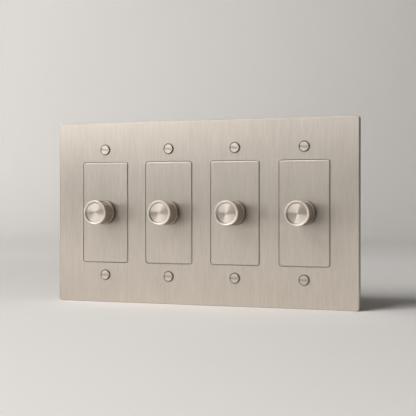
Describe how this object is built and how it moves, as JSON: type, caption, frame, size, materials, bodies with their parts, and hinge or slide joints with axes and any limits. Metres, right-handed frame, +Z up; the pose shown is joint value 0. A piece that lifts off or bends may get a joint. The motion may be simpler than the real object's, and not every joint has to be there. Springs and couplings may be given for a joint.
{
  "type": "rotary dimmer switch",
  "caption": "Wide brushed-steel wall plate with flush rectangular inserts, each carrying a knurled push-and-turn dimmer knob, with the dimmer modules behind it.",
  "frame": {"origin": "centre of the wall plate's rear face, on the wall plane", "axes": "+X to the right as seen from the room, +Y into the wall, +Z up"},
  "size_m": [0.2082, 0.0484, 0.1196],
  "materials": {
    "plate_steel": "vertical fine brushing, warm tone",
    "insert_steel": "vertical fine brushing, warm tone",
    "knob_metal": "knurled side, spun front face",
    "screw_steel": "satin",
    "yoke_steel": "zinc plated",
    "case_plastic": "moulded, fine texture",
    "cover_plastic": "moulded, fine texture",
    "board_laminate": "solder mask",
    "control_metal": "die cast",
    "rotor_plastic": "moulded",
    "shaft_metal": "turned",
    "bush_plastic": "moulded",
    "switch_plastic": "moulded",
    "plunger_plastic": "moulded",
    "retainer_fibre": "pressed fibre",
    "nut_metal": "nickel plated",
    "choke_sleeve": "shrink sleeve",
    "triac_body": "moulded body on a plated tab",
    "capacitor_case": "moulded case",
    "terminal_brass": "plain",
    "fastener_steel": "zinc plated",
    "ground_screw_green": "green plated"
  },
  "bodies": {
    "frame": {"wall_plate": "plate_steel", "box_screws": "screw_steel", "screw_retainers": "retainer_fibre", "pot_nuts": "nut_metal", "pot_washers": "nut_metal", "chokes": "choke_sleeve", "triacs": "triac_body", "capacitors": "capacitor_case", "terminal_clamps": "terminal_brass", "terminal_screws": "fastener_steel", "housing_screws": "fastener_steel", "ground_screws": "ground_screw_green", "face_insert_1": "insert_steel", "face_insert_2": "insert_steel", "face_insert_3": "insert_steel", "face_insert_4": "insert_steel", "yoke_1": "yoke_steel", "yoke_2": "yoke_steel", "yoke_3": "yoke_steel", "yoke_4": "yoke_steel", "housing_1": "case_plastic", "housing_2": "case_plastic", "housing_3": "case_plastic", "housing_4": "case_plastic", "back_cover_1": "cover_plastic", "back_cover_2": "cover_plastic", "back_cover_3": "cover_plastic", "back_cover_4": "cover_plastic", "circuit_board_1": "board_laminate", "circuit_board_2": "board_laminate", "circuit_board_3": "board_laminate", "circuit_board_4": "board_laminate", "pot_body_1": "control_metal", "pot_body_2": "control_metal", "pot_body_3": "control_metal", "pot_body_4": "control_metal", "switch_body_1": "switch_plastic", "switch_body_2": "switch_plastic", "switch_body_3": "switch_plastic", "switch_body_4": "switch_plastic"},
    "rotor_1": {"wiper_rotor_1": "rotor_plastic"},
    "control_1": {"knob_1": "knob_metal", "knob_bush_1": "bush_plastic", "shaft_1": "shaft_metal"},
    "plunger_1": {"switch_plunger_1": "plunger_plastic"},
    "rotor_2": {"wiper_rotor_2": "rotor_plastic"},
    "control_2": {"knob_2": "knob_metal", "knob_bush_2": "bush_plastic", "shaft_2": "shaft_metal"},
    "plunger_2": {"switch_plunger_2": "plunger_plastic"},
    "rotor_3": {"wiper_rotor_3": "rotor_plastic"},
    "control_3": {"knob_3": "knob_metal", "knob_bush_3": "bush_plastic", "shaft_3": "shaft_metal"},
    "plunger_3": {"switch_plunger_3": "plunger_plastic"},
    "rotor_4": {"wiper_rotor_4": "rotor_plastic"},
    "control_4": {"knob_4": "knob_metal", "knob_bush_4": "bush_plastic", "shaft_4": "shaft_metal"},
    "plunger_4": {"switch_plunger_4": "plunger_plastic"}
  },
  "joints": [
    {"name": "dim_turn_1", "type": "hinge", "parent": "frame", "child": "rotor_1", "pos_m": [-0.06906, 0, 0], "axis": [0, 1, 0], "range_deg": [-140, 140]},
    {"name": "knob_push_1", "type": "slide", "parent": "rotor_1", "child": "control_1", "axis": [0, 1, 0], "range_m": [0, 0.0008], "stiffness_N_per_m": 2000},
    {"name": "plunger_travel_1", "type": "slide", "parent": "frame", "child": "plunger_1", "axis": [0, 1, 0], "range_m": [0, 0.0008]},
    {"name": "dim_turn_2", "type": "hinge", "parent": "frame", "child": "rotor_2", "pos_m": [-0.02302, 0, 0], "axis": [0, 1, 0], "range_deg": [-140, 140]},
    {"name": "knob_push_2", "type": "slide", "parent": "rotor_2", "child": "control_2", "axis": [0, 1, 0], "range_m": [0, 0.0008], "stiffness_N_per_m": 2000},
    {"name": "plunger_travel_2", "type": "slide", "parent": "frame", "child": "plunger_2", "axis": [0, 1, 0], "range_m": [0, 0.0008]},
    {"name": "dim_turn_3", "type": "hinge", "parent": "frame", "child": "rotor_3", "pos_m": [0.02302, 0, 0], "axis": [0, 1, 0], "range_deg": [-140, 140]},
    {"name": "knob_push_3", "type": "slide", "parent": "rotor_3", "child": "control_3", "axis": [0, 1, 0], "range_m": [0, 0.0008], "stiffness_N_per_m": 2000},
    {"name": "plunger_travel_3", "type": "slide", "parent": "frame", "child": "plunger_3", "axis": [0, 1, 0], "range_m": [0, 0.0008]},
    {"name": "dim_turn_4", "type": "hinge", "parent": "frame", "child": "rotor_4", "pos_m": [0.06906, 0, 0], "axis": [0, 1, 0], "range_deg": [-140, 140]},
    {"name": "knob_push_4", "type": "slide", "parent": "rotor_4", "child": "control_4", "axis": [0, 1, 0], "range_m": [0, 0.0008], "stiffness_N_per_m": 2000},
    {"name": "plunger_travel_4", "type": "slide", "parent": "frame", "child": "plunger_4", "axis": [0, 1, 0], "range_m": [0, 0.0008]}
  ],
  "couplings": [
    {"joint": "plunger_travel_1", "follows": "knob_push_1", "ratio": 1},
    {"joint": "plunger_travel_2", "follows": "knob_push_2", "ratio": 1},
    {"joint": "plunger_travel_3", "follows": "knob_push_3", "ratio": 1},
    {"joint": "plunger_travel_4", "follows": "knob_push_4", "ratio": 1}
  ]
}
